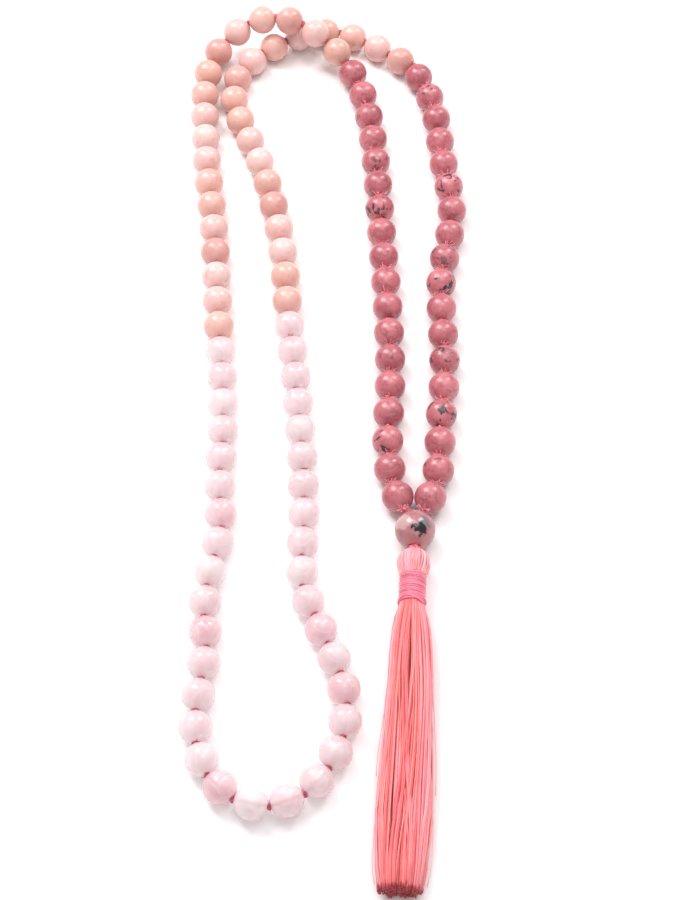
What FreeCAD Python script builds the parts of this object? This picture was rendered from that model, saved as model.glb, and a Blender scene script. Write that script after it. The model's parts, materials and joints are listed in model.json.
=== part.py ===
import FreeCAD
import Part
import math
import os

from FreeCAD import Placement, Rotation, Vector

# A knotted mala: 107 drilled stone beads on one cord, a larger guru bead that gathers the
# two ends, and a silk tassel. It lies on the plane z = 0 as a long loop that crosses
# over itself once at the top. The origin is on that plane, under the middle of the
# object. +Y runs from the tassel to the top of the loop, +X to the right, +Z up.

doc = FreeCAD.newDocument("mala_prayer_beads")

# ------------------------------------------------------------------ driving dimensions, mm
SIZES = {
    "bead_diameter": 8.0,
    "drill_diameter": 1.0,
    "drill_mouth_depth": 0.5,
    "rhodonite_spacing": 8.63,
    "pink_opal_spacing": 8.4,
    "rose_quartz_spacing": 8.4,
    "cord_diameter": 0.8,
    "knot_diameter": 1.5,
    "knot_bend_reach": 0.35,
    "knot_bend_radius": 1.2,
    "knot_clearance": 0.06,
    "guru_diameter": 10.0,
    "guru_drill_diameter": 2.2,
    "guru_mouth_depth": 0.6,
    "guru_cord_offset": 0.45,
    "tie_knot_diameter": 2.6,
    "tie_knot_drop": 0.35,
    "loops_start": 1.45,
    "loops_top_diameter": 5.6,
    "loops_widest_at": 4.0,
    "loops_diameter": 7.8,
    "neck_diameter": 5.2,
    "wrap_start": 7.2,
    "wrap_length": 8.6,
    "wrap_diameter": 6.6,
    "skirt_tip_diameter": 0.6,
    "skirt_shoulder": 1.9,
    "skirt_shoulder_width": 6.0,
    "skirt_waist": 10.0,
    "skirt_waist_width": 10.4,
    "skirt_waist_depth": 6.4,
    "skirt_belly": 46.0,
    "skirt_belly_width": 12.6,
    "skirt_belly_depth": 7.0,
    "skirt_length": 73.0,
    "skirt_end_width": 12.0,
    "skirt_end_depth": 7.0,
}

sheet = doc.addObject("Spreadsheet::Sheet", "sizes")
for row, (alias, value) in enumerate(SIZES.items(), start=1):
    sheet.set(f"A{row}", alias)
    sheet.set(f"B{row}", str(value))
    sheet.setAlias(f"B{row}", alias)
doc.recompute()


def size(alias):
    """A driving dimension, read back from the sheet, in mm."""
    return float(sheet.get(alias))


# ------------------------------------------------------------------ the strand's route
# The strand's centreline, from the knot at the left of the guru bead round to the one at
# its right: up the left rhodonite strand, over the crossing, down the outside, round the
# bottom, up the inside, under the crossing and down the right rhodonite strand.
ROUTE = [
    (19.9, -36.0, 4.4),
    (16.4, -26.6, 4.0),
    (16.0, -12.4, 4.0),
    (17.2, 2.6, 4.0),
    (17.0, 19.6, 4.0),
    (16.2, 38.6, 4.0),
    (15.0, 58.6, 4.0),
    (14.1, 79.6, 4.0),
    (12.0, 99.6, 4.0),
    (9.6, 109.6, 4.0),
    (4.8, 119.8, 5.2),
    (-1.0, 123.6, 9.0),
    (-5.5, 125.6, 11.9),
    (-14.5, 129.6, 12.2),
    (-22.6, 129.8, 9.8),
    (-29.0, 126.2, 6.2),
    (-33.6, 119.0, 4.3),
    (-35.2, 107.6, 4.0),
    (-34.2, 94.6, 4.0),
    (-33.2, 78.6, 4.0),
    (-30.4, 58.6, 4.0),
    (-29.0, 40.6, 4.0),
    (-27.9, 22.6, 4.0),
    (-26.1, 5.6, 4.0),
    (-25.3, -13.4, 4.0),
    (-25.9, -29.4, 4.0),
    (-24.3, -40.4, 4.0),
    (-26.8, -52.4, 4.0),
    (-28.8, -62.4, 4.0),
    (-26.7, -72.4, 4.0),
    (-28.4, -85.4, 4.0),
    (-29.3, -95.4, 4.0),
    (-28.0, -103.4, 4.0),
    (-23.6, -110.6, 4.0),
    (-17.2, -115.2, 4.0),
    (-9.2, -115.2, 4.0),
    (-2.2, -111.6, 4.0),
    (2.8, -104.6, 4.0),
    (5.8, -96.0, 4.0),
    (6.2, -87.4, 4.0),
    (3.4, -77.4, 4.0),
    (-1.2, -67.4, 4.0),
    (-5.6, -56.4, 4.0),
    (-4.4, -41.4, 4.0),
    (-5.0, -24.4, 4.0),
    (-6.2, -7.4, 4.0),
    (-7.8, 10.6, 4.0),
    (-9.8, 26.6, 4.0),
    (-10.8, 44.6, 4.0),
    (-13.8, 62.6, 4.0),
    (-17.3, 77.6, 4.0),
    (-22.3, 90.6, 4.0),
    (-26.4, 101.1, 4.0),
    (-27.0, 108.6, 4.0),
    (-24.6, 116.2, 4.0),
    (-18.6, 122.8, 4.0),
    (-11.0, 128.4, 4.0),
    (-4.6, 131.6, 4.0),
    (2.6, 131.8, 4.0),
    (9.0, 128.8, 4.0),
    (16.0, 123.6, 4.0),
    (24.2, 118.1, 4.0),
    (29.6, 106.6, 4.0),
    (31.7, 93.6, 4.0),
    (32.4, 79.6, 4.0),
    (35.2, 63.6, 4.0),
    (33.8, 52.6, 4.0),
    (30.5, 38.6, 4.0),
    (31.0, 22.6, 4.0),
    (31.4, 4.6, 4.0),
    (29.4, -9.4, 4.0),
    (29.2, -26.6, 4.0),
    (24.4, -37.4, 4.5),
]
ROUTE = [Vector(*point) for point in ROUTE]

# The guru bead rests on the plane, and its hole points down the tassel.
GURU_CENTRE = Vector(22.6, -42.3, 5.0)
TASSEL_LEAN = 3.2  # degrees from -Y towards -X
TASSEL_DROOP = 0.9  # degrees down towards the plane

ARC_SHARE = 0.45  # how much of the shorter run beside a corner its arc takes


def rounded_path(points, room=None):
    """Straight runs joined by tangent arcs, as a wire, and the arcs' radii.

    Each arc is as large as its two runs allow. Given room, a pair of a reach and a radius,
    it starts and ends within that reach of the corner unless its radius would be smaller."""
    edges = []
    radii = []
    last = points[0]
    for before, corner, after in zip(points, points[1:], points[2:]):
        into = (corner - before).normalize()
        out = (after - corner).normalize()
        half_turn = into.getAngle(out) / 2
        reach = ARC_SHARE * min(corner.distanceToPoint(before), corner.distanceToPoint(after))
        if room:
            reach = min(reach, max(room[0], room[1] * math.tan(half_turn)))
        radius = reach / math.tan(half_turn)
        start = corner - into * reach
        end = corner + out * reach
        inside = (out - into).normalize()
        middle = corner + inside * (radius / math.cos(half_turn) - radius)
        edges.append(Part.LineSegment(last, start).toShape())
        edges.append(Part.Arc(start, middle, end).toShape())
        radii.append(radius)
        last = end
    edges.append(Part.LineSegment(last, points[-1]).toShape())
    return Part.Wire(edges), radii


# ------------------------------------------------------------------ knots and beads
STRAND = [("rhodonite", 18), ("pink_opal", 18), ("rose_quartz", 35), ("pink_opal", 18), ("rhodonite", 18)]
STONE = [stone for stone, count in STRAND for _ in range(count)]
FINE_STEP = 0.02  # mm along the route between the places tried for a knot


def knots_along(wire):
    """The knots' centres: each a bead's spacing from the last, in a straight line."""
    places = wire.discretize(Distance=FINE_STEP)
    knots = [places[0]]
    at = 0
    for stone in STONE:
        spacing = size(f"{stone}_spacing")
        while places[at].distanceToPoint(knots[-1]) < spacing:
            at += 1
        knots.append(places[at])
    return knots


route_wire, route_radii = rounded_path(ROUTE)
KNOTS = knots_along(route_wire)
LAST_KNOT = len(KNOTS) - 1


def check_beads():
    """Prints the beads that come closest to each other."""
    centres = [(a + b) / 2 for a, b in zip(KNOTS, KNOTS[1:])]
    pairs = [
        (centres[i].distanceToPoint(centres[j]), i, j)
        for i in range(len(centres))
        for j in range(i + 1, len(centres))
    ]
    print("closest bead centres", [(round(d, 2), i, j) for d, i, j in sorted(pairs)[:4]])


print(f"route {route_wire.Length:.1f} mm, smallest arc {min(route_radii):.1f} mm")
print(f"knots {len(KNOTS)}, last knot {KNOTS[-1]}")
check_beads()


def bound(obj, **expressions):
    """Ties an object's properties to the sheet."""
    for name, expression in expressions.items():
        obj.setExpression(name.replace("__", "."), expression)
    return obj


def drilled_bead(name, diameter, drill, mouth):
    """A sphere with a hole along Z that opens in a small cone at each end."""
    ball = doc.addObject("Part::Sphere", f"{name}_ball")
    bound(ball, Radius=f"sizes.{diameter} / 2")
    hole = doc.addObject("Part::Cylinder", f"{name}_hole")
    bound(
        hole,
        Radius=f"sizes.{drill} / 2",
        Height=f"sizes.{diameter} + 2",
        Placement__Base__z=f"-sizes.{diameter} / 2 - 1",
    )
    cutters = [hole]
    for end, side in (("low", -1), ("high", 1)):
        cone = doc.addObject("Part::Cone", f"{name}_mouth_{end}")
        narrow = f"sizes.{drill} / 2"
        wide = f"sizes.{drill} / 2 + sizes.{mouth}"
        bound(
            cone,
            Radius1=wide if side < 0 else narrow,
            Radius2=narrow if side < 0 else wide,
            Height=f"sizes.{mouth}",
            Placement__Base__z=f"-sizes.{diameter} / 2" if side < 0 else f"sizes.{diameter} / 2 - sizes.{mouth}",
        )
        cutters.append(cone)
    drill_tool = doc.addObject("Part::MultiFuse", f"{name}_drill")
    drill_tool.Shapes = cutters
    bead = doc.addObject("Part::Cut", name)
    bead.Base = ball
    bead.Tool = drill_tool
    return bead


strand_bead = drilled_bead("strand_bead", "bead_diameter", "drill_diameter", "drill_mouth_depth")
knot_ball = bound(doc.addObject("Part::Sphere", "knot_ball"), Radius="sizes.knot_diameter / 2")

SUBPARTS = []


def subpart(obj, label):
    obj.Label = label
    SUBPARTS.append(obj)
    return obj


def placed_copy(original, name, place):
    """A link to an object, at a place of its own."""
    link = doc.addObject("App::Link", name)
    link.LinkedObject = original
    link.Placement = place
    return link


def bead_place(number):
    """Where a bead of the strand sits: midway between its knots, hole along them."""
    low = KNOTS[number]
    high = KNOTS[number + 1]
    return Placement((low + high) / 2, Rotation(Vector(0, 0, 1), high - low))


def bead_group(label, numbers):
    """The strand's beads with these numbers, each a separate solid, in one node."""
    group = doc.addObject("Part::Compound", label)
    group.Links = [placed_copy(strand_bead, f"{label}_bead_{n}", bead_place(n)) for n in numbers]
    return subpart(group, label)


# ------------------------------------------------------------------ the guru bead's frame
tassel_way = Rotation(Vector(0, 0, 1), -TASSEL_LEAN).multVec(Vector(0, -1, 0))
across = tassel_way.cross(Vector(0, 0, 1)).normalize() * -1
tassel_down = Rotation(across, TASSEL_DROOP).multVec(tassel_way)
guru_radius = size("guru_diameter") / 2
TIE_KNOT = GURU_CENTRE + tassel_way * (guru_radius + size("tie_knot_drop"))


def guru_passage(side):
    """A cord's points from above the guru bead, into its hole, to the tie knot's near side."""
    beside = across * side * size("guru_cord_offset")
    above = GURU_CENTRE - tassel_way * (guru_radius + 0.35) + beside
    below = GURU_CENTRE + tassel_way * (guru_radius - 1.1) + beside
    return [above, below]


# ------------------------------------------------------------------ the cord and its knots
def knot_place(number):
    """Where a knot sits. Its ball's seam is turned to the side that no cord leaves from."""
    before = KNOTS[number - 1] if number else KNOTS[0]
    after = KNOTS[min(number + 1, LAST_KNOT)]
    side = (after - before).cross(Vector(0, 0, 1))
    return Placement(KNOTS[number], Rotation(Vector(1, 0, 0), side))


def cord_length(label, first, last, owns_first, owns_last, before=(), after=()):
    """A length of the knotted cord from one knot to another, as one solid.

    It is straight in each bead and bends only inside its knots. An end at a fold whose knot
    belongs to the next length stops just short of that knot."""
    gap = size("knot_diameter") / 2 + size("knot_clearance")
    points = [Vector(k) for k in KNOTS[first : last + 1]]
    if not owns_first:
        points[0] = points[0] + (points[1] - points[0]).normalize() * gap
    if not owns_last:
        points[-1] = points[-1] + (points[-2] - points[-1]).normalize() * gap
    room = (size("knot_bend_reach"), size("knot_bend_radius"))
    line, radii = rounded_path([*before, *points, *after], room)
    path = doc.addObject("Part::Feature", f"{label}_path")
    path.Shape = line
    section = bound(
        doc.addObject("Part::Circle", f"{label}_section"), Radius="sizes.cord_diameter / 2"
    )
    start = line.Edges[0]
    section.Placement = Placement(
        start.valueAt(start.FirstParameter),
        Rotation(Vector(0, 0, 1), start.tangentAt(start.FirstParameter)),
    )
    tube = doc.addObject("Part::Sweep", f"{label}_tube")
    tube.Sections = [section]
    tube.Spine = (path, [f"Edge{n + 1}" for n in range(len(line.Edges))])
    tube.Solid = True
    tube.Frenet = False
    owned = range(first + (not owns_first), last + (0 if not owns_last else 1))
    knots = [placed_copy(knot_ball, f"{label}_knot_{n}", knot_place(n)) for n in owned]
    cord = doc.addObject("Part::MultiFuse", label)
    cord.Shapes = [tube, *knots]
    CORDS.append((label, tube, line, min(radii)))
    return cord


CORDS = []


def cord_node(label, lengths):
    """One node that holds the cord lengths of one section of the mala."""
    group = doc.addObject("Part::Compound", label)
    group.Links = lengths
    return subpart(group, label)


# ------------------------------------------------------------------ the sections
# The loop folds flat across both its strands at once, on a line through a knot of each.
# A section is (name, outer or left strand's beads, inner or right strand's beads), and each
# hangs on the one before it. The beads in TURNING are nodes of their own that spin.
LEFT_FOLDS = [(27, 79), (31, 75), (35, 71), (39, 67), (43, 63), (47, 59)]
RIGHT_FOLDS = [(15, 92), (11, 96), (7, 100), (3, 104)]
TURNING = {29: "left_1", 72: "left_2", 36: "left_3", 64: "left_4", 45: "left_5"}
TURNING.update({13: "right_1", 97: "right_2", 5: "right_3", 105: "right_4"})
TURNING.update({50: "loop_end", 56: "loop_end", 25: "crown", 89: "crown"})


def still(numbers):
    return [n for n in numbers if n not in TURNING]


def strand_section(body, strand, numbers):
    """The beads of one strand in one section, by stone."""
    for stone in dict.fromkeys(STONE[n] for n in still(numbers)):
        bead_group(f"{stone}_{body}_{strand}", [n for n in still(numbers) if STONE[n] == stone])


def crown():
    """The top of the loop, where the strand crosses over itself."""
    strand_section("crown", "over", range(15, 27))
    strand_section("crown", "under", range(79, 92))
    cord_node("cord_crown_over", [cord_length("crown_over_length", 15, 27, True, True)])
    cord_node("cord_crown_under", [cord_length("crown_under_length", 79, 92, True, True)])


def left_leg():
    """The long loop of pink opal and rose quartz."""
    for number, ((outer, inner), (next_outer, next_inner)) in enumerate(
        zip(LEFT_FOLDS, LEFT_FOLDS[1:]), start=1
    ):
        body = f"left_{number}"
        strand_section(body, "outer", range(outer, next_outer))
        strand_section(body, "inner", range(next_inner, inner))
        cord_node(
            f"cord_{body}",
            [
                cord_length(f"{body}_outer_length", outer, next_outer, False, True),
                cord_length(f"{body}_inner_length", next_inner, inner, True, False),
            ],
        )
    outer, inner = LEFT_FOLDS[-1]
    strand_section("loop_end", "bend", range(outer, inner))
    cord_node("cord_loop_end", [cord_length("loop_end_length", outer, inner, False, False)])


def right_leg():
    """The two rhodonite strands that run down to the guru bead."""
    for number, ((left, right), (next_left, next_right)) in enumerate(
        zip(RIGHT_FOLDS, RIGHT_FOLDS[1:]), start=1
    ):
        body = f"right_{number}"
        strand_section(body, "left", range(next_left, left))
        strand_section(body, "right", range(right, next_right))
        cord_node(
            f"cord_{body}",
            [
                cord_length(f"{body}_left_length", next_left, left, True, False),
                cord_length(f"{body}_right_length", right, next_right, False, True),
            ],
        )
    left, right = RIGHT_FOLDS[-1]
    body = f"right_{len(RIGHT_FOLDS)}"
    strand_section(body, "left", range(0, left))
    strand_section(body, "right", range(right, LAST_KNOT))
    up = list(reversed(guru_passage(-1)))
    down = guru_passage(1)
    cord_node(
        f"cord_{body}",
        [
            cord_length(f"{body}_left_length", 0, left, True, False, before=up),
            cord_length(f"{body}_right_length", right, LAST_KNOT, False, True, after=down),
        ],
    )


def turning_beads():
    """One bead in each section, free to turn on its cord."""
    for number, body in TURNING.items():
        bead_group(f"{STONE[number]}_{body}_turning_{number}", [number])


def guru():
    """The larger bead that both ends of the cord run through."""
    bead = drilled_bead("guru_bead", "guru_diameter", "guru_drill_diameter", "guru_mouth_depth")
    bead.Placement = Placement(GURU_CENTRE, Rotation(Vector(0, 0, 1), tassel_way))
    subpart(bead, "guru_bead")


# ------------------------------------------------------------------ the tassel
TASSEL_TURN = Rotation(across, Vector(0, 0, 1), tassel_down, "ZXY")
TASSEL_PLACE = Placement(TIE_KNOT, TASSEL_TURN)


def ring(name, at, **radii):
    """A circle or an ellipse across the tassel's axis, at a distance down it."""
    kind = "Part::Circle" if "Radius" in radii else "Part::Ellipse"
    return bound(doc.addObject(kind, name), Placement__Base__z=at, **radii)


def loft(name, rings):
    solid = doc.addObject("Part::Loft", name)
    solid.Sections = rings
    solid.Solid = True
    solid.Ruled = True
    return solid


def tie_knot():
    """The knot under the guru bead that the tassel hangs on."""
    ball = bound(doc.addObject("Part::Sphere", "tie_knot"), Radius="sizes.tie_knot_diameter / 2")
    ball.Placement = TASSEL_PLACE
    subpart(ball, "tie_knot")


def tassel_head():
    """The looped heads of the threads, and the neck of the bundle inside the wrap."""
    loops = loft(
        "loops",
        [
            ring("loops_top", "sizes.loops_start", Radius="sizes.loops_top_diameter / 2"),
            ring("loops_middle", "sizes.loops_widest_at", Radius="sizes.loops_diameter / 2"),
            ring("loops_bottom", "sizes.wrap_start", Radius="sizes.neck_diameter / 2"),
        ],
    )
    neck = bound(
        doc.addObject("Part::Cylinder", "neck"),
        Radius="sizes.neck_diameter / 2",
        Height="sizes.wrap_length",
        Placement__Base__z="sizes.wrap_start",
    )
    head = doc.addObject("Part::MultiFuse", "tassel_head")
    head.Shapes = [loops, neck]
    head.Placement = TASSEL_PLACE
    subpart(head, "tassel_head")


def tassel_wrap():
    """The thread wound round the neck, as one sleeve."""
    outside = bound(
        doc.addObject("Part::Cylinder", "wrap_outside"),
        Radius="sizes.wrap_diameter / 2",
        Height="sizes.wrap_length",
        Placement__Base__z="sizes.wrap_start",
    )
    inside = bound(
        doc.addObject("Part::Cylinder", "wrap_inside"),
        Radius="sizes.neck_diameter / 2",
        Height="sizes.wrap_length + 2",
        Placement__Base__z="sizes.wrap_start - 1",
    )
    sleeve = doc.addObject("Part::Cut", "tassel_wrap")
    sleeve.Base = outside
    sleeve.Tool = inside
    sleeve.Placement = TASSEL_PLACE
    subpart(sleeve, "tassel_wrap")


def tassel_skirt():
    """The hanging threads, as one solid of their outer shape.

    Its top is a cone with its tip at the wrap's lower edge, so that it can bend there."""
    end = "sizes.wrap_start + sizes.wrap_length"
    cap = loft(
        "skirt_cap",
        [
            ring("skirt_tip", f"{end} + 0.25", Radius="sizes.skirt_tip_diameter / 2"),
            ring("skirt_rim", f"{end} + sizes.skirt_shoulder", Radius="sizes.skirt_shoulder_width / 2"),
        ],
    )
    levels = [ring("skirt_shoulder", f"{end} + sizes.skirt_shoulder", Radius="sizes.skirt_shoulder_width / 2")]
    for level, at in (("waist", "skirt_waist"), ("belly", "skirt_belly"), ("end", "skirt_length")):
        levels.append(
            ring(
                f"skirt_{level}",
                f"{end} + sizes.{at}",
                MajorRadius=f"sizes.skirt_{level}_width / 2",
                MinorRadius=f"sizes.skirt_{level}_depth / 2",
            )
        )
    threads = loft("skirt_threads", levels)
    skirt = doc.addObject("Part::MultiFuse", "tassel_skirt")
    skirt.Shapes = [cap, threads]
    skirt.Placement = TASSEL_PLACE
    subpart(skirt, "tassel_skirt")


crown()
left_leg()
right_leg()
turning_beads()
guru()
tie_knot()
tassel_head()
tassel_wrap()
tassel_skirt()
doc.recompute()

# ------------------------------------------------------------------ checks
broken = [obj.Name for obj in doc.Objects if {"Invalid", "Error"} & set(obj.State)]
broken += [obj.Label for obj in SUBPARTS if obj.Shape.isNull() or not obj.Shape.isValid()]
if broken:
    raise RuntimeError(f"these objects failed: {broken}")

cord_section = math.pi * (size("cord_diameter") / 2) ** 2
for label, tube, line, least_radius in CORDS:
    ratio = tube.Shape.Volume / (cord_section * line.Length)
    print(f"{label}: {line.Length:.1f} mm, least radius {least_radius:.2f} mm, volume ratio {ratio:.4f}")
print(f"cord in all: {sum(line.Length for _, _, line, _ in CORDS):.1f} mm")

# ------------------------------------------------------------------ the parts' files
os.makedirs("parts", exist_ok=True)
for obj in SUBPARTS:
    obj.Shape.exportStep(os.path.join("parts", f"{obj.Label}.step"))

print(f"{len(SUBPARTS)} nodes")

# ------------------------------------------------------------------ where it moves


def hinge(name, point, axis):
    print(f"hinge {name} at {tuple(round(v, 4) for v in point)} about {tuple(round(v, 5) for v in axis)}")


for number, (left, right) in enumerate(LEFT_FOLDS, start=1):
    hinge(f"left_fold_{number}", (KNOTS[left] + KNOTS[right]) / 2, (KNOTS[right] - KNOTS[left]).normalize())
for number, (left, right) in enumerate(RIGHT_FOLDS, start=1):
    hinge(f"right_fold_{number}", (KNOTS[left] + KNOTS[right]) / 2, (KNOTS[right] - KNOTS[left]).normalize())
for number, body in TURNING.items():
    place = bead_place(number)
    hinge(f"{body}_turn_{number}", place.Base, place.Rotation.multVec(Vector(0, 0, 1)))
hinge("guru_turn", GURU_CENTRE, tassel_way)
hinge("tassel_sway", TIE_KNOT, Vector(0, 0, 1))
hinge("tassel_lift", TIE_KNOT, across)
wrap_end = size("wrap_start") + size("wrap_length")
hinge("skirt_bend", TIE_KNOT + tassel_down * wrap_end, across)
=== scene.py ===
import json
import math
import random

import bmesh
import bpy
import numpy as np
from mathutils import Matrix, Vector, noise

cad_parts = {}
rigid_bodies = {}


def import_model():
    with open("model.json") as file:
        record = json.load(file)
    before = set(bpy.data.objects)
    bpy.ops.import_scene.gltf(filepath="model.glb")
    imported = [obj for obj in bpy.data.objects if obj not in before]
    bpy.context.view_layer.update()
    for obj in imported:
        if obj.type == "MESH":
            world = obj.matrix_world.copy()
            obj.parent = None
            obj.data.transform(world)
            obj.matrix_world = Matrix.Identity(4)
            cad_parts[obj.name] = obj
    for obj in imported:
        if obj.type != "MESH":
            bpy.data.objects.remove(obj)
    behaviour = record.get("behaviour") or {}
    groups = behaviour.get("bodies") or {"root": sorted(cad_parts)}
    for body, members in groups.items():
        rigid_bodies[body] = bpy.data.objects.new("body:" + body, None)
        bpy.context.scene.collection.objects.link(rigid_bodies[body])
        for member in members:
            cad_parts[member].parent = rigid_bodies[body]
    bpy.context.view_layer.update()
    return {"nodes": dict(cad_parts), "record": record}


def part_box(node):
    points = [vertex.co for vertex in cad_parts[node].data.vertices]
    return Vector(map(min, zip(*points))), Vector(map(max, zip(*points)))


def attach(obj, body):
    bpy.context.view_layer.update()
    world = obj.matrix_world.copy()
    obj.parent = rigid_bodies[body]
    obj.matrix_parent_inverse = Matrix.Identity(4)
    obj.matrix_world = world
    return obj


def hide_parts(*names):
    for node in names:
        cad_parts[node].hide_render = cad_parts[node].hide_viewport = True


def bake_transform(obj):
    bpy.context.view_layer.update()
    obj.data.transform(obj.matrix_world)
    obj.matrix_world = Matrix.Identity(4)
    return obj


MM = 0.001
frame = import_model()
random.seed(108)

# ------------------------------------------------------------------ camera, light and floor
LOOK_AT = Vector((6.7, -15.0, 0.0)) * MM
CAMERA_AT = Vector((6.7, -312.3, 427.2)) * MM
LENS_MM = 82.07


def aim(obj, target):
    obj.rotation_euler = (target - obj.location).to_track_quat("-Z", "Y").to_euler()


def make_camera():
    data = bpy.data.cameras.new("camera")
    data.lens = LENS_MM
    data.clip_start = 0.01
    cam = bpy.data.objects.new("camera", data)
    bpy.context.collection.objects.link(cam)
    cam.location = CAMERA_AT
    aim(cam, LOOK_AT)
    bpy.context.scene.camera = cam


def softbox(name, at, target, width, height, watts):
    """A rectangular area light, in metres."""
    data = bpy.data.lights.new(name, "AREA")
    data.shape = "RECTANGLE"
    data.size = width
    data.size_y = height
    data.energy = watts
    light = bpy.data.objects.new(name, data)
    bpy.context.collection.objects.link(light)
    light.location = at
    aim(light, Vector(target))


# name, place and target in metres, width, height, watts
SOFTBOXES = [
    ("key_softbox", (-0.34, 0.34, 0.62), (0, 0, 0), 0.30, 0.42, 4.1),
    ("fill_softbox", (0.36, 0.40, 0.58), (0, 0, 0), 0.18, 0.40, 2.1),
    ("top_softbox", (0.05, 0.05, 1.0), (0, 0, 0), 0.7, 0.5, 3.2),
    ("front_softbox", (0.0, -0.75, 0.65), (0, -0.05, 0), 0.8, 0.3, 0.8),
]
WORLD_STRENGTH = 0.46


def make_lights():
    for box in SOFTBOXES:
        softbox(*box)
    world = bpy.data.worlds.new("studio")
    world.use_nodes = True
    background = world.node_tree.nodes["Background"]
    background.inputs["Color"].default_value = (1.0, 0.985, 0.985, 1)
    background.inputs["Strength"].default_value = WORLD_STRENGTH
    bpy.context.scene.world = world
    bpy.context.scene.view_settings.view_transform = "Standard"


# ------------------------------------------------------------------ material helpers
def linear(level):
    """One screen level, 0 to 255, as linear light."""
    part = level / 255
    return part / 12.92 if part <= 0.04045 else ((part + 0.055) / 1.055) ** 2.4


def srgb(*rgb):
    """A colour given as 0 to 255 on screen, as the linear colour a shader takes."""
    return tuple(linear(level) for level in rgb) + (1,)


COLOUR_A, COLOUR_B, COLOUR_RESULT = 6, 7, 2  # the Mix node's colour sockets


class Nodes:
    """A material whose nodes are made and linked in short calls."""

    def __init__(self, name):
        self.material = bpy.data.materials.new(name)
        self.material.use_nodes = True
        self.tree = self.material.node_tree
        self.shader = self.tree.nodes["Principled BSDF"]

    def add(self, kind, inputs=None, **settings):
        node = self.tree.nodes.new(kind)
        for key, value in settings.items():
            setattr(node, key, value)
        for key, value in (inputs or {}).items():
            self.put(node.inputs[key], value)
        return node

    def put(self, socket, value):
        if isinstance(value, bpy.types.NodeSocket):
            self.tree.links.new(value, socket)
        else:
            socket.default_value = value

    def set(self, **inputs):
        for key, value in inputs.items():
            self.put(self.shader.inputs[key.replace("_", " ")], value)

    def place(self, scale=(1, 1, 1)):
        """The object's own coordinates, in metres, stretched."""
        where = self.add("ShaderNodeTexCoord").outputs["Object"]
        return self.add("ShaderNodeMapping", {"Vector": where, "Scale": scale}).outputs["Vector"]

    def attribute(self, name, output="Color"):
        return self.add("ShaderNodeAttribute", attribute_name=name).outputs[output]

    def noise(self, scale, detail=3, roughness=0.5, vector=None, output="Fac", distortion=0.0):
        node = self.add(
            "ShaderNodeTexNoise",
            {"Scale": scale, "Detail": detail, "Roughness": roughness, "Distortion": distortion},
        )
        self.put(node.inputs["Vector"], vector or self.place())
        return node.outputs[output]

    def cells(self, scale, vector=None, feature="F1", output="Distance", randomness=1.0):
        node = self.add(
            "ShaderNodeTexVoronoi", {"Scale": scale, "Randomness": randomness}, feature=feature
        )
        self.put(node.inputs["Vector"], vector or self.place())
        return node.outputs[output]

    def ramp(self, value, stops):
        """A colour ramp. Each stop is a place from 0 to 1 and a colour or a grey."""
        node = self.add("ShaderNodeValToRGB", {"Fac": value})
        band = node.color_ramp
        while len(band.elements) < len(stops):
            band.elements.new(0.5)
        for element, (at, colour) in zip(band.elements, stops):
            element.position = at
            element.color = colour if isinstance(colour, tuple) else (colour, colour, colour, 1)
        return node.outputs["Color"]

    def mix(self, factor, low, high, blend="MIX"):
        node = self.add("ShaderNodeMix", data_type="RGBA", blend_type=blend)
        self.put(node.inputs["Factor"], factor)
        self.put(node.inputs[COLOUR_A], low)
        self.put(node.inputs[COLOUR_B], high)
        return node.outputs[COLOUR_RESULT]

    def maths(self, operation, a, b=0.0):
        return self.add("ShaderNodeMath", {0: a, 1: b}, operation=operation).outputs[0]

    def bump(self, height, distance, strength=1.0):
        settings = {"Height": height, "Distance": distance, "Strength": strength}
        node = self.add("ShaderNodeBump", settings)
        self.put(self.shader.inputs["Normal"], node.outputs["Normal"])


# ------------------------------------------------------------------ stone
def rhodonite():
    """Raspberry stone, mottled, with black and grey specks and a few veins."""
    m = Nodes("rhodonite")
    cloud = m.noise(260, 4, 0.55)
    base = m.mix(m.ramp(cloud, [(0.32, 0.0), (0.7, 1.0)]), srgb(168, 74, 86), srgb(208, 120, 128))
    base = m.mix(m.maths("MULTIPLY", m.noise(900, 3), 0.35), base, srgb(230, 160, 166))
    base = m.mix(0.55, base, m.attribute("tone"), "MULTIPLY")
    patches = m.ramp(m.noise(420, 5, 0.62, distortion=0.6), [(0.565, 0.0), (0.605, 1.0)])
    base = m.mix(m.maths("MULTIPLY", patches, m.attribute("specks", "Fac")), base, srgb(62, 54, 58))
    fine = m.ramp(m.noise(1500, 4, 0.7), [(0.61, 0.0), (0.68, 1.0)])
    base = m.mix(m.maths("MULTIPLY", fine, 0.55), base, srgb(96, 62, 70))
    edges = m.cells(170, feature="DISTANCE_TO_EDGE", vector=m.place((1, 1.6, 1)))
    vein = m.ramp(edges, [(0.0, 1.0), (0.018, 0.0)])
    base = m.mix(m.maths("MULTIPLY", vein, 0.28), base, srgb(110, 58, 70))
    m.set(Base_Color=base, Roughness=m.ramp(cloud, [(0.0, 0.22), (1.0, 0.34)]))
    m.shader.inputs["Subsurface Weight"].default_value = 0.12
    m.shader.inputs["Subsurface Scale"].default_value = 0.0012
    m.shader.inputs["IOR"].default_value = 1.6
    m.bump(m.maths("ADD", m.noise(700, 3), m.maths("MULTIPLY", patches, -0.3)), 0.00002, 0.5)
    return m.material


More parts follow.
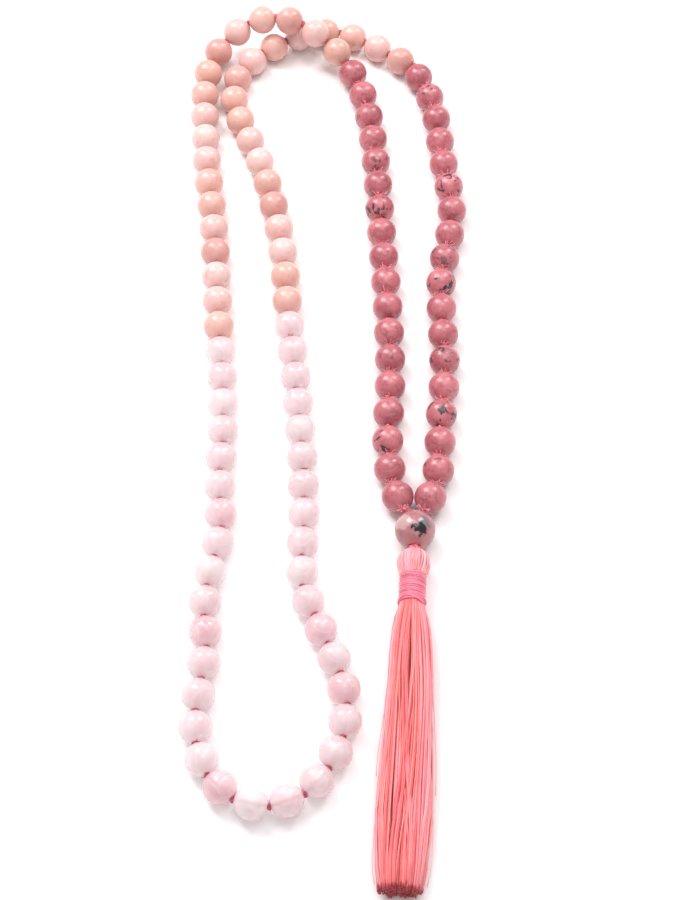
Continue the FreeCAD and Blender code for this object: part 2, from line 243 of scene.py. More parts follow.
def pink_opal():
    """Opaque, waxy pink stone, from pale to dusty, each bead a little different."""
    m = Nodes("pink_opal")
    cloud = m.ramp(m.noise(190, 4, 0.5, distortion=0.4), [(0.3, 0.0), (0.72, 1.0)])
    tone = m.attribute("tone")
    base = m.mix(m.maths("MULTIPLY", cloud, 0.3), tone, srgb(244, 212, 206))
    dusty = m.ramp(m.noise(520, 5, 0.6), [(0.56, 0.0), (0.7, 1.0)])
    base = m.mix(m.maths("MULTIPLY", dusty, 0.3), base, srgb(190, 122, 116))
    m.set(Base_Color=base, Roughness=m.ramp(cloud, [(0.0, 0.2), (1.0, 0.28)]))
    m.shader.inputs["Subsurface Weight"].default_value = 0.3
    m.shader.inputs["Subsurface Scale"].default_value = 0.002
    m.shader.inputs["Subsurface Radius"].default_value = (1.0, 0.6, 0.55)
    m.shader.inputs["IOR"].default_value = 1.5
    m.bump(m.noise(600, 3), 0.00002, 0.4)
    return m.material


def rose_quartz():
    """Milky, see-through pale pink stone in which the cord shows."""
    m = Nodes("rose_quartz")
    cloud = m.ramp(m.noise(230, 4, 0.55, distortion=0.5), [(0.35, 0.0), (0.7, 1.0)])
    tone = m.attribute("tone")
    base = m.mix(m.maths("MULTIPLY", cloud, 0.5), tone, srgb(255, 246, 247))
    edges = m.cells(120, feature="DISTANCE_TO_EDGE", vector=m.place((1, 0.6, 1.3)))
    crack = m.ramp(edges, [(0.0, 1.0), (0.02, 0.0)])
    base = m.mix(m.maths("MULTIPLY", crack, 0.35), base, srgb(255, 252, 252))
    # Painted shade at the rims: the stone is tinted darker and pinker where its surface turns away from
    # the view, for the thicker stone seen there.
    facing = m.add("ShaderNodeLayerWeight", {"Blend": 0.35}).outputs["Facing"]
    rim = m.ramp(facing, [(0.3, 0.0), (0.95, 1.0)])
    base = m.mix(m.maths("MULTIPLY", rim, 0.5), base, m.mix(1.0, tone, srgb(250, 226, 230), "MULTIPLY"))
    m.set(Base_Color=base, Roughness=m.ramp(cloud, [(0.0, 0.12), (1.0, 0.26)]))
    m.shader.inputs["Alpha"].default_value = 0.6
    m.shader.inputs["Subsurface Weight"].default_value = 0.5
    m.shader.inputs["Subsurface Scale"].default_value = 0.003
    m.shader.inputs["Subsurface Radius"].default_value = (1.0, 0.7, 0.7)
    m.shader.inputs["IOR"].default_value = 1.5
    m.shader.inputs["Coat Weight"].default_value = 0.6
    m.shader.inputs["Coat Roughness"].default_value = 0.08
    m.bump(m.noise(500, 3), 0.00002, 0.3)
    return m.material


def guru_stone():
    """Mauve rhodonite with one large black and grey inclusion and pale patches."""
    m = Nodes("guru_stone")
    centre = box_centre("guru_bead")
    where = m.add("ShaderNodeTexCoord").outputs["Object"]
    back = {"Vector": where, "Location": tuple(-c for c in centre)}
    offset = m.add("ShaderNodeMapping", back).outputs["Vector"]
    wobble = m.noise(330, 4, 0.6, output="Color")
    shift = m.add("ShaderNodeVectorMath", {0: wobble, "Scale": 0.0052}, operation="SCALE")
    bent = m.add("ShaderNodeVectorMath", {0: offset, 1: shift.outputs[0]}, operation="ADD").outputs[0]

    def patch(at, radius):
        """1 near a point on the bead, 0 away from it, with a ragged edge."""
        apart = m.add("ShaderNodeVectorMath", {0: bent, 1: at}, operation="DISTANCE").outputs["Value"]
        return m.ramp(m.maths("DIVIDE", apart, radius), [(0.72, 1.0), (0.9, 0.0)])

    cloud = m.noise(300, 4, 0.55)
    base = m.mix(m.ramp(cloud, [(0.3, 0.0), (0.7, 1.0)]), srgb(160, 98, 105), srgb(192, 136, 139))
    pale = m.maths("MULTIPLY", patch((-0.0008, 0.0030, 0.0060), 0.0026), 0.6)
    base = m.mix(pale, base, srgb(214, 184, 180))
    fine = m.ramp(m.noise(1300, 4, 0.7), [(0.62, 0.0), (0.7, 1.0)])
    base = m.mix(m.maths("MULTIPLY", fine, 0.3), base, srgb(128, 84, 92))
    grey = m.maths("MULTIPLY", patch((0.0046, 0.0022, 0.0062), 0.0021), 0.9)
    base = m.mix(grey, base, srgb(118, 120, 124))
    base = m.mix(patch((0.0036, 0.0000, 0.0066), 0.0019), base, srgb(34, 31, 36))
    base = m.mix(patch((0.0020, 0.0006, 0.0072), 0.0011), base, srgb(44, 38, 42))
    m.set(Base_Color=base, Roughness=m.ramp(cloud, [(0.0, 0.13), (1.0, 0.2)]))
    m.shader.inputs["Subsurface Weight"].default_value = 0.1
    m.shader.inputs["Subsurface Scale"].default_value = 0.0012
    m.shader.inputs["IOR"].default_value = 1.6
    m.bump(m.noise(700, 3), 0.00002, 0.5)
    return m.material


# ------------------------------------------------------------------ cord, knots and silk
def twisted_cord():
    m = Nodes("twisted_cord")
    fibre = m.noise(2600, 4, 0.7, vector=m.place((1, 0.35, 1)))
    m.set(Base_Color=m.mix(fibre, srgb(176, 62, 84), srgb(226, 120, 138)), Roughness=0.75)
    m.shader.inputs["Sheen Weight"].default_value = 0.35
    m.shader.inputs["Sheen Roughness"].default_value = 0.4
    m.bump(fibre, 0.00008, 0.8)
    return m.material


def thread_material(name, roughness, sheen):
    """Silk thread: each thread has its own tone, finer fibres run along it."""
    m = Nodes(name)
    fibre = m.noise(1.0, 4, 0.65, vector=m.place((5200, 420, 5200)))
    tone = m.attribute("tone")
    base = m.mix(m.ramp(fibre, [(0.3, 0.0), (0.75, 1.0)]), m.mix(0.5, tone, tone, "MULTIPLY"), tone)
    m.set(Base_Color=base, Roughness=roughness)
    m.shader.inputs["Sheen Weight"].default_value = sheen
    m.shader.inputs["Sheen Roughness"].default_value = 0.35
    m.shader.inputs["Sheen Tint"].default_value = srgb(255, 214, 206)
    m.shader.inputs["Specular IOR Level"].default_value = 0.6
    m.shader.inputs["Subsurface Weight"].default_value = 0.12
    m.shader.inputs["Subsurface Scale"].default_value = 0.0010
    m.shader.inputs["Subsurface Radius"].default_value = (1.0, 0.3, 0.3)
    m.bump(fibre, 0.00006, 0.6)
    return m.material


# ------------------------------------------------------------------ mesh helpers
def frame_across(direction):
    """Two unit vectors across a direction, the second as near to +Z as it can be."""
    direction = Vector(direction).normalized()
    side = direction.cross(Vector((0, 0, 1)))
    side = side.normalized() if side.length > 1e-6 else Vector((1, 0, 0))
    return side, side.cross(direction).normalized()


class Builder:
    """Collects rings of points into one mesh, with a colour and a number at each point."""

    def __init__(self):
        self.points = []
        self.faces = []
        self.tones = []
        self.numbers = []

    def add(self, points, faces, tone, number=0.0):
        base = len(self.points)
        self.points += points
        self.faces += [tuple(i + base for i in face) for face in faces]
        tones = tone if isinstance(tone, list) else [tone] * len(points)
        self.tones += tones
        self.numbers += [number] * len(points)

    def tube(self, path, radii, tone, sides=6, caps=True):
        """A round tube along a path, its ring frames carried along so that it doesn't twist."""
        points = []
        faces = []
        side, _ = frame_across(path[1] - path[0])
        for i, centre in enumerate(path):
            way = (path[min(i + 1, len(path) - 1)] - path[max(i - 1, 0)]).normalized()
            side = (side - way * side.dot(way)).normalized()
            up = way.cross(side)
            radius = radii[i] if isinstance(radii, list) else radii
            for k in range(sides):
                a = 2 * math.pi * k / sides
                points.append(centre + (side * math.cos(a) + up * math.sin(a)) * radius)
        for i in range(len(path) - 1):
            for k in range(sides):
                a = i * sides + k
                b = i * sides + (k + 1) % sides
                faces.append((a, b, b + sides, a + sides))
        if caps:
            faces.append(tuple(reversed(range(sides))))
            faces.append(tuple(range((len(path) - 1) * sides, len(path) * sides)))
        tones = [t for t in tone for _ in range(sides)] if isinstance(tone, list) else tone
        self.add(points, faces, tones)

    def object(self, name, material, number_name=None):
        mesh = bpy.data.meshes.new(name)
        mesh.from_pydata(self.points, [], self.faces)
        mesh.validate()
        colour = mesh.attributes.new("tone", "FLOAT_COLOR", "POINT")
        colour.data.foreach_set("color", [c for tone in self.tones for c in tone])
        if number_name:
            number = mesh.attributes.new(number_name, "FLOAT", "POINT")
            number.data.foreach_set("value", self.numbers)
        mesh.polygons.foreach_set("use_smooth", [True] * len(mesh.polygons))
        mesh.materials.append(material)
        obj = bpy.data.objects.new(name, mesh)
        bpy.context.collection.objects.link(obj)
        return obj


# ------------------------------------------------------------------ where the CAD's beads are
STONES = ("rhodonite", "pink_opal", "rose_quartz")
SPACING = {"rhodonite": 8.63 * MM, "pink_opal": 8.40 * MM, "rose_quartz": 8.40 * MM}
BEAD_RADIUS = 4.0 * MM
FIRST_KNOT = Vector((19.9, -36.0, 4.4)) * MM  # at the left of the guru bead


def islands(node):
    """The vertices of each separate solid in a CAD node, as arrays."""
    work = bmesh.new()
    work.from_mesh(frame["nodes"][node].data)
    bmesh.ops.remove_doubles(work, verts=work.verts, dist=1e-7)
    work.verts.ensure_lookup_table()
    seen = set()
    groups = []
    for start in work.verts:
        if start.index in seen:
            continue
        seen.add(start.index)
        stack = [start]
        group = []
        while stack:
            vert = stack.pop()
            group.append(tuple(vert.co))
            for edge in vert.link_edges:
                other = edge.other_vert(vert)
                if other.index not in seen:
                    seen.add(other.index)
                    stack.append(other)
        groups.append(np.array(group))
    work.free()
    return groups


def ball_fit(points):
    """The centre of the sphere that points lie on."""
    rows = np.hstack([2 * points, np.ones((len(points), 1))])
    return np.linalg.lstsq(rows, (points**2).sum(1), rcond=None)[0][:3]


def bead_from(points, radius):
    """A drilled bead's centre and the direction of its hole, from its CAD vertices."""
    centre = ball_fit(points)
    for _ in range(3):
        away = np.linalg.norm(points - centre, axis=1)
        centre = ball_fit(points[np.abs(away - radius) < 0.02 * radius])
    away = np.linalg.norm(points - centre, axis=1)
    inner = points[away < 0.985 * radius] - centre
    axis = np.linalg.svd(inner, full_matrices=False)[2][0]
    return Vector(centre), Vector(axis)


def box_centre(node):
    low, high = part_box(node)
    return (low + high) / 2


class Bead:
    """One strand bead, with the knots' places at the two ends of its hole."""

    def __init__(self, node, stone, centre, axis):
        self.node = node
        self.stone = stone
        self.centre = centre
        self.axis = axis
        self.low = centre - axis * SPACING[stone] / 2
        self.high = centre + axis * SPACING[stone] / 2


def read_beads():
    """Every strand bead, in its order along the cord, from the left of the guru bead round."""
    loose = []
    for node in sorted(frame["nodes"]):
        stone = next((s for s in STONES if node.startswith(s)), None)
        if stone:
            for points in islands(node):
                loose.append(Bead(node, stone, *bead_from(points, BEAD_RADIUS)))
    here = FIRST_KNOT
    ordered = []
    while loose:
        nearest = min(loose, key=lambda b: min((b.low - here).length, (b.high - here).length))
        if (nearest.high - here).length < (nearest.low - here).length:
            nearest.low, nearest.high = nearest.high, nearest.low
            nearest.axis = -nearest.axis
        here = nearest.high
        ordered.append(nearest)
        loose.remove(nearest)
    return ordered


# ------------------------------------------------------------------ stone beads
RINGS = 26
ROUND = 44
HOLE = 0.5 * MM
MOUTH = 0.5 * MM
GURU_HOLE = 1.1 * MM
GURU_MOUTH = 0.6 * MM
GURU_RADIUS = 5.0 * MM


def bead_shape(radius, hole, mouth):
    """A drilled sphere round +Z: its points and faces, closed. The holes' edges are eased."""
    rim = hole + mouth * 0.72
    start = math.asin(rim / radius)
    profile = []
    for i in range(RINGS + 1):
        a = start + (math.pi - 2 * start) * i / RINGS
        profile.append((radius * math.sin(a), radius * math.cos(a)))
    edge = radius * math.cos(start)
    low = [(rim - mouth * 0.16, -edge + mouth * 0.02), (hole + mouth * 0.1, -edge + mouth * 0.55)]
    low.append((hole, -edge + mouth * 0.8))
    high = [(r, -z) for r, z in reversed(low)]
    profile += low + high
    points = []
    for r, z in profile:
        points += [
            Vector((r * math.cos(2 * math.pi * k / ROUND), r * math.sin(2 * math.pi * k / ROUND), z))
            for k in range(ROUND)
        ]
    faces = []
    count = len(profile)
    for i in range(count):
        j = (i + 1) % count
        for k in range(ROUND):
            n = (k + 1) % ROUND
            faces.append((i * ROUND + k, j * ROUND + k, j * ROUND + n, i * ROUND + n))
    return points, faces


def turned(points, centre, axis, spin, worn):
    """A bead's points put in place: turned, and very slightly out of round as stone is."""
    rotation = axis.to_track_quat("Z", "Y").to_matrix() @ Matrix.Rotation(spin, 3, "Z")
    seat = Vector((random.uniform(-9, 9), random.uniform(-9, 9), random.uniform(-9, 9)))
    placed = []
    for p in points:
        swell = 1 + worn * noise.noise(p * 260 + seat)
        placed.append(centre + rotation @ (p * swell))
    return placed


# One letter for each bead of the strand, in order from the guru bead: a tone of its stone.
# Rhodonite: d deep, r raspberry, l light. Opal: w pale, p pink, s salmon, d dusty, t tan.
# Quartz: c clear, m milky, r rosy.
RHODONITE_LEFT = "rrlrrdrrlrrrdrrdrd"
OPAL_UPPER = "tpdspdtspwpsspdwps"
QUARTZ = "mmcmmmrmcmrmmmcrcmmmmrmrmcmmmmcmmmm"
OPAL_LOWER = "sswpdswptsdpswtspd"
RHODONITE_RIGHT = "drdrrlrrdrrrdlrrrr"
TONE_LETTERS = RHODONITE_LEFT + OPAL_UPPER + QUARTZ + OPAL_LOWER + RHODONITE_RIGHT
TONES = {
    "rhodonite": {"d": (0.80, 0.72, 0.76, 1), "r": (0.95, 0.90, 0.92, 1), "l": (1.1, 1.1, 1.1, 1)},
    "pink_opal": {
        "w": srgb(235, 199, 195),
        "p": srgb(231, 187, 182),
        "s": srgb(226, 174, 163),
        "d": srgb(212, 154, 146),
        "t": srgb(219, 168, 154),
    },
    "rose_quartz": {"c": srgb(250, 226, 229), "m": srgb(248, 216, 221), "r": srgb(242, 196, 204)},
}
# How dark the black specks are, by bead number.
SPECKLED = {
    2: 1.0, 5: 0.6, 11: 1.0, 13: 0.7, 90: 0.8, 94: 1.0, 97: 0.7, 98: 1.0, 101: 0.9, 103: 1.0, 105: 0.6,
}
SPECKS_ELSEWHERE = 0.3
OUT_OF_ROUND = 0.0045


def make_beads(beads, materials):
    """The stone beads: one piece for each CAD node, in its beads' places."""
    points, faces = bead_shape(BEAD_RADIUS, HOLE, MOUTH)
    nodes = {}
    for number, bead in enumerate(beads):
        nodes.setdefault(bead.node, []).append((number, bead))
    for node, group in nodes.items():
        build = Builder()
        for number, bead in group:
            tone = TONES[bead.stone][TONE_LETTERS[number]]
            shade = random.uniform(0.96, 1.03)
            tone = tuple(c * shade for c in tone[:3]) + (1,)
            placed = turned(points, bead.centre, bead.axis, random.uniform(0, 6.28), OUT_OF_ROUND)
            build.add(placed, faces, tone, SPECKLED.get(number, SPECKS_ELSEWHERE))
        stone = group[0][1].stone
        piece = build.object(f"{node}_stone", materials[stone], "specks")
        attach(piece, body_of_node(node))
        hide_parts(node)


def body_of_node(node):
    bodies = frame["record"]["behaviour"]["bodies"]
    return next(body for body, nodes in bodies.items() if node in nodes)


def make_guru(material):
    points = max(islands("guru_bead"), key=len)
    centre, axis = bead_from(points, GURU_RADIUS)
    shape, faces = bead_shape(GURU_RADIUS, GURU_HOLE, GURU_MOUTH)
    build = Builder()
    build.add(turned(shape, centre, axis, 0.0, 0.004), faces, (1, 1, 1, 1))
    piece = build.object("guru_bead_stone", material)
    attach(piece, "guru_bead")
    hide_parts("guru_bead")


# ------------------------------------------------------------------ knots
# The knots' tones by stone. The dark maroon of the knots among the rose quartz is painted shade.
KNOT_TONES_AND_SHADE = {
    "rhodonite": srgb(248, 178, 190),
    "pink_opal": srgb(214, 118, 116),
    "rose_quartz": srgb(186, 78, 100),
}
# How many fibres stand out of a knot before each stone, and how far.
FRAYED = {"rhodonite": (26, 1.7 * MM), "pink_opal": (4, 1.2 * MM), "rose_quartz": (4, 1.1 * MM)}
FIBRE_RADII = [0.10 * MM, 0.09 * MM, 0.05 * MM]
LOWEST_FIBRE = 0.3 * MM
KNOT_STRAND = 0.26 * MM
KNOT_SIZE = 0.6 * MM


def knot_path(centre, way, size, spin):
    """An overhand knot's closed run of cord, squashed along the way the strand goes."""
    side, up = frame_across(way)
    path = []
    steps = 40
    for i in range(steps + 1):
        t = 2 * math.pi * i / steps
        x = (math.sin(t) + 1.6 * math.sin(2 * t)) / 2.6
        y = (math.cos(t) - 1.6 * math.cos(2 * t)) / 2.6
        z = -math.sin(3 * t) * 0.45
        across = side * math.cos(spin) + up * math.sin(spin)
        upward = up * math.cos(spin) - side * math.sin(spin)
        path.append(centre + (across * x + upward * y) * size * 1.18 + way * z * size * 0.9)
    return path


def fuzz(build, centre, way, tone, count, reach):
    """Short stray fibres that stand out of a knot."""
    side, up = frame_across(way)
    for _ in range(count):
        a = random.uniform(0, 2 * math.pi)
        out = side * math.cos(a) + up * abs(math.sin(a)) + way * random.uniform(-0.3, 0.3)
        out.normalize()
        start = centre + out * KNOT_SIZE * 0.9
        length = random.uniform(0.4, 1.0) * reach
        bend = Vector([random.uniform(-1, 1) for _ in range(3)]) * length * 0.4
        path = [start, start + out * length * 0.5 + bend * 0.4, start + out * length + bend]
        if min(p.z for p in path) > LOWEST_FIBRE:
            build.tube(path, FIBRE_RADII, tone, sides=5)


def make_knots(beads, material):
    """A tied knot at each end of every bead, in one piece for each body of the strand."""
    sections = {}
    parents = {j["child"]: j["parent"] for j in frame["record"]["behaviour"]["joints"]}

    def section(bead):
        body = body_of_node(bead.node)
        return parents[body] if "turning" in body else body

    for number in range(len(beads) + 1):
        before = beads[max(number - 1, 0)]
        after = beads[min(number, len(beads) - 1)]
        centre = after.low if number < len(beads) else before.high
        way = (before.axis + after.axis).normalized()
        body = section(before)
        if parents.get(body) == section(after):
            body = section(after)
        build = sections.setdefault(body, Builder())
        # Knots among the rose quartz take the painted shade of their dark tone.
        tone = KNOT_TONES_AND_SHADE[before.stone if number % 2 else after.stone]
        shade = random.uniform(0.85, 1.1)
        tone = tuple(c * shade for c in tone[:3]) + (1,)
        path = knot_path(centre, way, KNOT_SIZE, random.uniform(0, 6.28))
        build.tube(path, KNOT_STRAND, tone, sides=7, caps=False)
        hairs, reach = FRAYED[after.stone]
        if section(before) != section(after):
            hairs, reach = hairs // 3, reach * 0.25  # short, as the strand folds at this knot
        fuzz(build, centre, way, tone, hairs, reach)
    for body, build in sections.items():
        piece = build.object(f"knots_{body}", material)
        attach(piece, body)


# ------------------------------------------------------------------ the tassel
TIE_KNOT = box_centre("tie_knot")
LEAN = math.radians(3.2)
DROOP = math.radians(0.9)
LOOPS_START = 0.62 * MM
WRAP_START = 7.2 * MM
WRAP_LENGTH = 8.6 * MM
WRAP_END = WRAP_START + WRAP_LENGTH
SKIRT_LENGTH = 72.0  # millimetres, as the skirt's other places are
# Single threads that stand off the skirt: side, start, how far out, length.
STRAYS = [(-1, 18, 1.0, 26), (1, 14, 1.0, 34), (-1, 48, 0.9, 22), (1, 46, 1.0, 24)]
DOWN = Vector(
    (-math.sin(LEAN) * math.cos(DROOP), -math.cos(LEAN) * math.cos(DROOP), -math.sin(DROOP))
)
ACROSS, UPWARD = frame_across(DOWN)
ACROSS = -ACROSS if ACROSS.x < 0 else ACROSS
THREAD = 0.24 * MM

SILK = [
    srgb(252, 146, 158),
    srgb(246, 114, 122),
    srgb(255, 184, 192),
    srgb(252, 154, 136),
    srgb(228, 82, 92),
]
# The cut ends' deep red is painted shade: the threads' last millimetres are darkened where the cut end
# lies in shadow.
SILK_END_SHADE = srgb(182, 48, 58)
# A pale pink mixed into the looped threads: painted highlight on the tassel's head.
LOOP_PAINTED_HIGHLIGHT = srgb(255, 202, 208)
LOCKS = 46
THREADS = 400
SECTION_LIMIT = 0.96  # threads stay inside this part of the skirt's section
WRAP_SILK = srgb(252, 150, 172)


def at_tassel(down, across, up):
    return TIE_KNOT + DOWN * down + ACROSS * across + UPWARD * up


def curve_value(stops, at):
    """A value read from (place, value) stops with smooth steps between them."""
    for (a, low), (b, high) in zip(stops, stops[1:]):
        if at <= b:
            t = max(0.0, (at - a) / (b - a))
            return low + (high - low) * t * t * (3 - 2 * t)
    return stops[-1][1]


# Places along the tassel and sizes there, in millimetres. The dome is measured from the tie
# knot and gives its radius. The other four are measured from the end of the wrap.
DOME = [
    (0.6, 1.15), (1.0, 1.95), (1.6, 2.75), (2.5, 3.4), (4.0, 3.75), (5.6, 3.55), (7.2, 3.0), (8.2, 2.8),
]
HALF_WIDTH = [(0, 3.0), (4, 4.1), (9, 5.1), (26, 5.7), (54, 6.6), (64, 6.1), (73, 5.1)]
HALF_DEPTH = [(0, 3.05), (4, 3.1), (12, 3.1), (40, 3.3), (70, 3.2)]
CENTRE_UP = [(0, 0.0), (20, -0.5), (45, -0.55), (70, -0.35)]
SIDEWAYS = [(0, 0.0), (30, 0.5), (50, 0.4), (70, 0.3)]


def skirt_point(down_mm, u, v):
    """A point of the skirt: down_mm below the wrap, u and v across its section, -1 to 1."""
    across = curve_value(SIDEWAYS, down_mm) + u * curve_value(HALF_WIDTH, down_mm)
    up = curve_value(CENTRE_UP, down_mm) + v * curve_value(HALF_DEPTH, down_mm)
    return at_tassel(WRAP_END + down_mm * MM, across * MM, up * MM)


def profile_value(stops, at):
    """A value read from (place, value) stops along a smooth curve through them."""
    stops = [stops[0]] + stops + [stops[-1]]
    for i in range(1, len(stops) - 2):
        (a, low), (b, high) = stops[i], stops[i + 1]
        if at <= b or i == len(stops) - 3:
            t = min(1.0, max(0.0, (at - a) / (b - a)))
            before, after = stops[i - 1][1], stops[i + 2][1]
            return 0.5 * (
                2 * low
                + (high - before) * t
                + (2 * before - 5 * low + 4 * high - after) * t * t
                + (3 * low - before - 3 * high + after) * t**3
            )


def silk_tone(spread=0.12):
    low, high = random.sample(SILK, 2)
    t = random.random()
    shade = random.uniform(1 - spread, 1 + spread)
    return tuple((a * (1 - t) + b * t) * shade for a, b in zip(low[:3], high[:3])) + (1,)


def make_skirt(material):
    """The hanging threads. Each wanders a little, and some cross their neighbours."""
    build = Builder()
    levels = [-1.6, 0.0, 1.5, 3.5, 7, 12, 18, 25, 32, 39, 46, 53, 60, 66, 70.8, SKIRT_LENGTH]
    golden = math.pi * (3 - math.sqrt(5))
    locks = []
    for n in range(LOCKS):
        r = math.sqrt((n + 0.5) / LOCKS)
        middle = (r * math.cos(n * golden + 1.0), r * math.sin(n * golden + 1.0))
        sway = (random.uniform(0, 6.28), random.uniform(0.04, 0.16), random.uniform(-0.26, 0.26))
        locks.append((middle, sway, silk_tone(0.08)))
    for n in range(THREADS):
        r = math.sqrt((n + 0.5) / THREADS)
        a = n * golden
        u = r * math.cos(a)
        v = r * math.sin(a)
        _, sway, shared = min(locks, key=lambda lock: math.dist(lock[0], (u, v)))
        end = random.uniform(-0.8, 0.3)
        phase = sway[0] + random.uniform(-0.5, 0.5)
        swing = sway[1] * random.uniform(0.7, 1.3)
        drift = sway[2] + random.uniform(-0.05, 0.05)
        path = []
        for level in levels:
            t = max(level, 0) / SKIRT_LENGTH
            wave = swing * math.sin(phase + t * 7.5) * min(1, t * 4)
            uu = u * (0.93 + 0.05 * math.sin(phase * 2 + t * 5)) + wave + drift * t
            vv = v * 0.93 + 0.6 * wave * math.cos(phase)
            size = math.hypot(uu, vv)
            if size > SECTION_LIMIT:
                uu, vv = uu * SECTION_LIMIT / size, vv * SECTION_LIMIT / size
            if level < 0:
                uu, vv = uu * 0.8, vv * 0.8
            reach = level + (end if level > 69 else 0)
            point = skirt_point(reach, uu, vv)
            point.z = max(point.z, THREAD * 1.05)
            path.append(point)
        own = silk_tone()
        tone = tuple(0.5 * c + 0.5 * o for c, o in zip(shared, own))
        pale = 0.5 * max(0.0, abs(u) - 0.45)
        tone = tuple(c + (p - c) * pale for c, p in zip(tone, SILK[2]))
        radius = THREAD * random.uniform(0.85, 1.2)
        # Each thread's last two points take the painted shade of the cut end.
        tones = [tone] * (len(levels) - 2) + [
            tuple(0.75 * c + 0.25 * d for c, d in zip(tone, SILK_END_SHADE)),
            SILK_END_SHADE,
        ]
        build.tube(path, radius, tones, sides=6)
    for across, start, out, length in STRAYS:
        path = []
        for i in range(9):
            t = i / 8
            point = skirt_point(start + length * t, across * 0.93, -0.35)
            point += ACROSS * math.copysign(out * MM * math.sin(math.pi * t * 0.62) ** 2, across)
            point.z = max(point.z, THREAD)
            path.append(point)
        build.tube(path, THREAD * 0.4, SILK[2], sides=5)
    piece = build.object("tassel_threads", material)
    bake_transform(piece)
    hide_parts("tassel_skirt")


def make_loops(material):
    """The threads' looped heads: out of the tie knot, over a bulge and into the wrap."""
    build = Builder()
    for ring, (count, bulge) in enumerate(((46, 1.0), (40, 0.88), (28, 0.7))):
        for n in range(count):
            a = 2 * math.pi * (n + 0.5 * ring + random.uniform(-0.22, 0.22)) / count
            lean = random.uniform(-0.18, 0.18)
            width = bulge * random.uniform(0.93, 1.04)
            path = []
            for i in range(15):
                t = i / 14
                down = LOOPS_START + (WRAP_START + 0.8 * MM - LOOPS_START) * (0.35 * t + 0.65 * t * t)
                radius = profile_value(DOME, down / MM) * MM * width
                angle = a + lean * math.sin(math.pi * t)
                path.append(at_tassel(down, radius * math.cos(angle), radius * math.sin(angle)))
            # Most of each loop's tone is the pale painted highlight.
            tone = tuple(0.4 * c + 0.6 * p for c, p in zip(silk_tone(0.1), LOOP_PAINTED_HIGHLIGHT))
            build.tube(path, THREAD * random.uniform(0.95, 1.25), tone, sides=6)
    for n in range(9):
        a = 2 * math.pi * n / 9
        path = []
        for i in range(9):
            t = i / 8
            turn = a + 2.2 * (t - 0.5)
            radius = (1.15 + 0.25 * math.sin(math.pi * t)) * MM
            down = LOOPS_START + 0.9 * MM * t
            path.append(at_tassel(down, radius * math.cos(turn), radius * math.sin(turn)))
        build.tube(path, THREAD * 1.1, silk_tone(0.1), sides=6)
    downs = [LOOPS_START + 0.5 * MM + (WRAP_START - LOOPS_START) * i / 9 for i in range(10)]
    core = [at_tassel(down, 0, 0) for down in downs]
    build.tube(core, [profile_value(DOME, down / MM) * 0.86 * MM for down in downs], SILK[0], sides=40)
    piece = build.object("tassel_loops", material)
    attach(piece, "tassel_head")
    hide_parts("tassel_head")


def make_wrap(material):
    """Fine thread wound round the neck in two bands, with its end laid across them."""
    build = Builder()
    pitch = 0.40 * MM
    thread = 0.23 * MM
    turns = int((WRAP_LENGTH - 2 * thread) / pitch)
    steps = 40
    path = []
    middle = WRAP_START + WRAP_LENGTH / 2
    for i in range(turns * steps + 1):
        a = 2 * math.pi * i / steps
        down = WRAP_START + thread + pitch * i / steps
        groove = 0.14 * MM * math.exp(-(((down - middle) / (0.35 * MM)) ** 2))
        ends = 0.25 * MM * math.exp(-(((down - WRAP_START) / (0.5 * MM)) ** 2))
        uneven = 0.09 * MM * noise.noise(Vector((a * 0.9, 0.3, 5.1)))
        radius = 3.02 * MM - groove - ends + 0.05 * MM * math.sin(a * 0.37) + uneven
        down += 0.17 * MM * math.sin(a + 0.6) + 0.08 * MM * noise.noise(Vector((a * 0.7, 2.3, 1.1)))
        path.append(at_tassel(down, radius * math.cos(a), radius * math.sin(a)))
    build.tube(path, thread, [wrap_tone(i, steps) for i in range(len(path))], sides=7)
    core = [at_tassel(WRAP_START + 0.3 * MM + (WRAP_LENGTH - 0.6 * MM) * i / 6, 0, 0) for i in range(7)]
    build.tube(core, 2.86 * MM, WRAP_SILK, sides=48)
    laid = []
    for i in range(19):
        t = i / 18
        a = math.radians(118 - 88 * t)
        down = WRAP_END - 1.35 * MM + 1.5 * MM * t
        radius = (3.28 - 0.2 * t) * MM
        laid.append(at_tassel(down, radius * math.cos(a), radius * math.sin(a)))
    build.tube(laid, thread * 1.15, WRAP_SILK, sides=7)
    laid = []
    for i in range(49):
        t = i / 48
        a = math.radians(118 + 272 * t)
        down = WRAP_END - 1.35 * MM + 0.9 * MM * math.sin(math.pi * t) + 0.15 * MM * t
        laid.append(at_tassel(down, 3.26 * MM * math.cos(a), 3.26 * MM * math.sin(a)))
    build.tube(laid, thread * 1.1, WRAP_SILK, sides=7)
    piece = build.object("tassel_winding", material)
    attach(piece, "tassel_head")
    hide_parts("tassel_wrap")


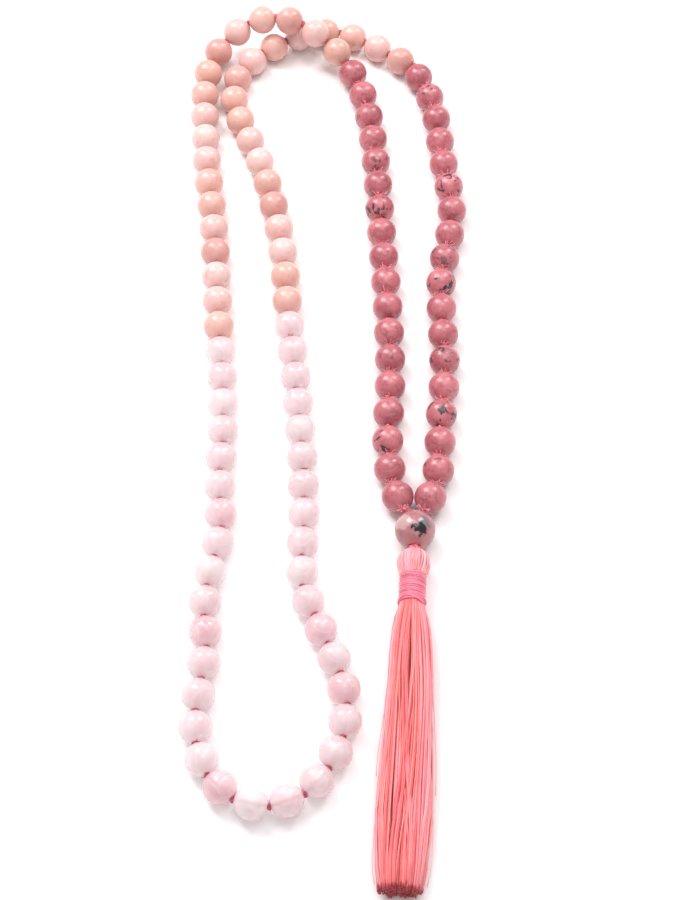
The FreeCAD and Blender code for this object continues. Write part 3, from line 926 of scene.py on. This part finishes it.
def wrap_tone(i, steps):
    shade = 0.94 + 0.34 * noise.noise(Vector((i / steps * 2.7, 3.1, 0.4)))
    return tuple(c * shade for c in WRAP_SILK[:3]) + (1,)


def make_tie_knot(material):
    """The small frayed knot under the guru bead, over its CAD ball."""
    build = Builder()
    for size, spin in ((1.05 * MM, 0.3), (0.95 * MM, 1.5)):
        build.tube(knot_path(TIE_KNOT, DOWN, size, spin), 0.3 * MM, SILK[0], sides=7, caps=False)
    for _ in range(16):
        a = random.uniform(0, 2 * math.pi)
        out = ACROSS * math.cos(a) + UPWARD * abs(math.sin(a)) - DOWN * random.uniform(-0.1, 0.8)
        out.normalize()
        start = TIE_KNOT + out * 1.0 * MM
        tip = start + out * random.uniform(0.3, 0.75) * MM
        build.tube([start, (start + tip) / 2 + UPWARD * 0.1 * MM, tip], 0.07 * MM, SILK[2], sides=5)
    piece = build.object("tie_knot_strands", material)
    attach(piece, "tie_knot")


# ------------------------------------------------------------------ floor
def make_floor():
    bpy.ops.mesh.primitive_plane_add(size=6, location=(0, 0, -0.00005))
    floor = bpy.context.object
    floor.name = "floor"
    m = Nodes("studio_paper")
    grain = m.noise(40, 3)
    m.set(Base_Color=m.mix(grain, srgb(250, 249, 249), srgb(253, 252, 252)), Roughness=0.9)
    floor.data.materials.append(m.material)


# ------------------------------------------------------------------ the scene
make_camera()
make_lights()
make_floor()

strand = read_beads()
stones = {"rhodonite": rhodonite(), "pink_opal": pink_opal(), "rose_quartz": rose_quartz()}
make_beads(strand, stones)
make_guru(guru_stone())

cord_look = twisted_cord()
for node_name, node_object in frame["nodes"].items():  # the cord keeps its CAD shape
    if node_name.startswith("cord") or node_name == "tie_knot":
        node_object.data.materials.clear()
        node_object.data.materials.append(cord_look)

knot_look = thread_material("knot_thread", 0.7, 0.4)
silk_look = thread_material("tassel_silk", 0.32, 0.2)
wrap_look = thread_material("wrap_silk", 0.24, 0.2)
make_knots(strand, knot_look)
make_skirt(silk_look)
make_loops(silk_look)
make_wrap(wrap_look)
make_tie_knot(knot_look)
